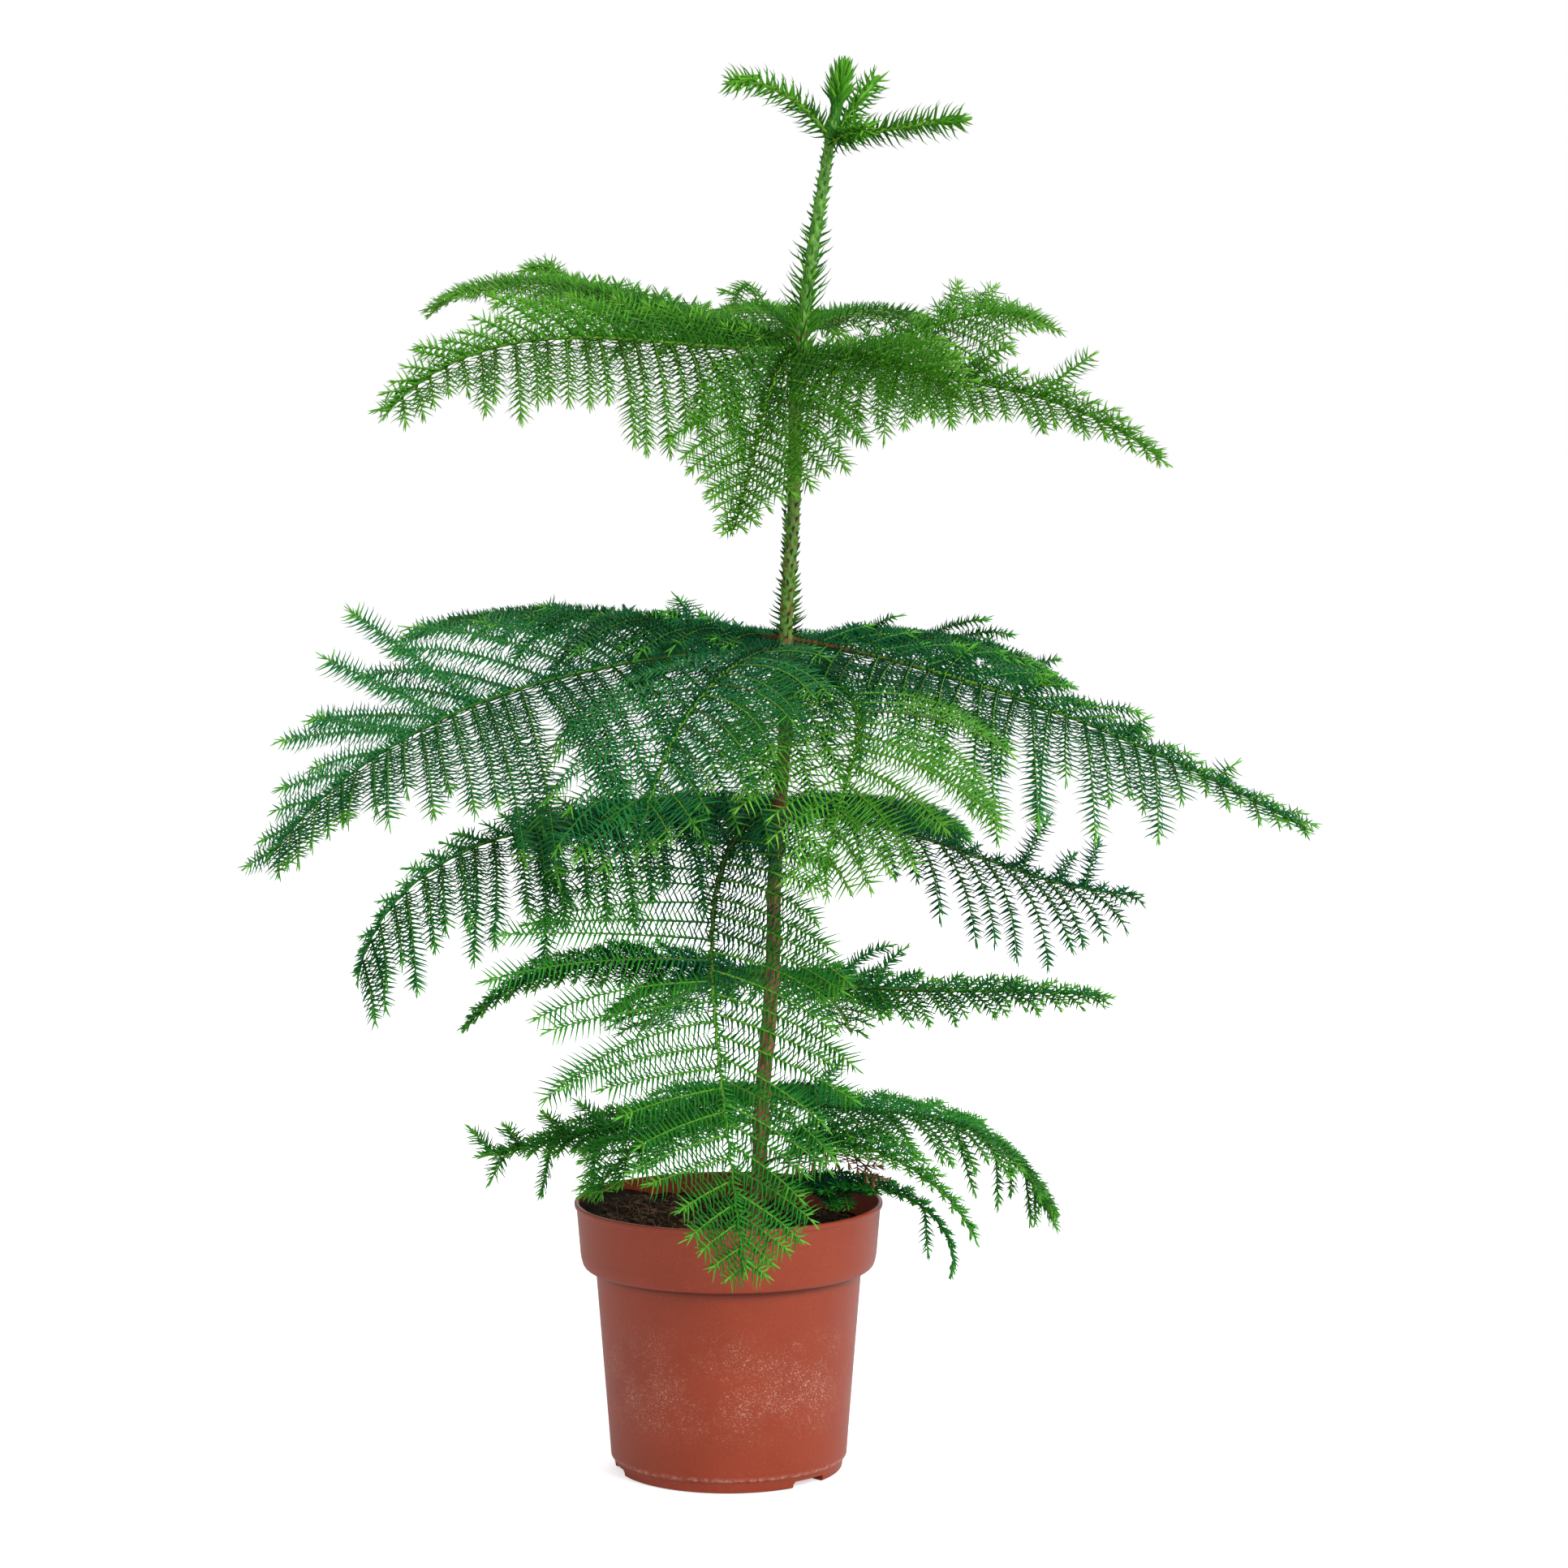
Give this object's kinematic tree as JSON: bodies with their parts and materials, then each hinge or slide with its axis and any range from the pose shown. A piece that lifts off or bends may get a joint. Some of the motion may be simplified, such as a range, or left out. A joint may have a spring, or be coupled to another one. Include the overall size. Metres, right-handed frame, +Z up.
{
  "type": "potted norfolk island pine",
  "caption": "Young Norfolk Island pine in a plain terracotta coloured plastic nursery pot, with a slender leaning stem and tiers of arching and weeping needled boughs.",
  "frame": {"origin": "centre of the pot's flat underside, where it stands on the ground; the row's x, y and z = 0", "axes": "+Z up, +X to the right as the plant is seen from its front, +Y to the back; the stem leans slightly towards +X"},
  "size_m": [0.7032, 0.5044, 0.96],
  "materials": {
    "pot_plastic": "satin moulded plastic, faintly dusty",
    "potting_mix": "rough, fibrous, moist",
    "trunk_bark": "rough, flaky",
    "green_bough": "knobby, green",
    "needles_top": "soft, matt",
    "needles_middle": "soft, matt",
    "needles_low": "soft, matt"
  },
  "bodies": {
    "root": {"bough_a1": "green_bough", "bough_a2": "green_bough", "bough_a3": "green_bough", "bough_a4": "green_bough", "bough_a6": "green_bough", "bough_a8": "green_bough", "bough_b1": "green_bough", "bough_b2": "green_bough", "bough_b3": "green_bough", "bough_b4": "green_bough", "bough_b5": "green_bough", "bough_b6": "green_bough", "bough_c1": "green_bough", "bough_c2": "green_bough", "bough_c3": "green_bough", "bough_c4": "green_bough", "bough_c5": "green_bough", "bough_d1": "green_bough", "bough_d2": "green_bough", "bough_e3": "green_bough", "foliage_a1": "needles_top", "foliage_a2": "needles_top", "foliage_a3": "needles_top", "foliage_a4": "needles_top", "foliage_a5": "needles_top", "foliage_a6": "needles_top", "foliage_a7": "needles_top", "foliage_a8": "needles_top", "foliage_a9": "needles_top", "foliage_b1": "needles_middle", "foliage_b2": "needles_middle", "foliage_b3": "needles_middle", "foliage_b4": "needles_middle", "foliage_b5": "needles_middle", "foliage_b6": "needles_middle", "foliage_b7": "needles_middle", "foliage_c1": "needles_middle", "foliage_c2": "needles_middle", "foliage_c3_lower": "needles_middle", "foliage_c3_upper": "needles_middle", "foliage_c4": "needles_middle", "foliage_c5": "needles_middle", "foliage_d1": "needles_low", "foliage_d2": "needles_low", "foliage_d3": "needles_low", "foliage_d4": "needles_low", "foliage_e1": "needles_low", "foliage_e2": "needles_low", "foliage_e3": "needles_low", "foliage_e4": "needles_low", "foliage_e5": "needles_low", "foliage_e6": "needles_low", "foliage_leader": "needles_top", "pot": "pot_plastic", "shoot_back": "needles_top", "shoot_front": "needles_top", "shoot_left": "needles_top", "shoot_right": "needles_top", "soil": "potting_mix", "trunk": "trunk_bark"}
  },
  "joints": []
}
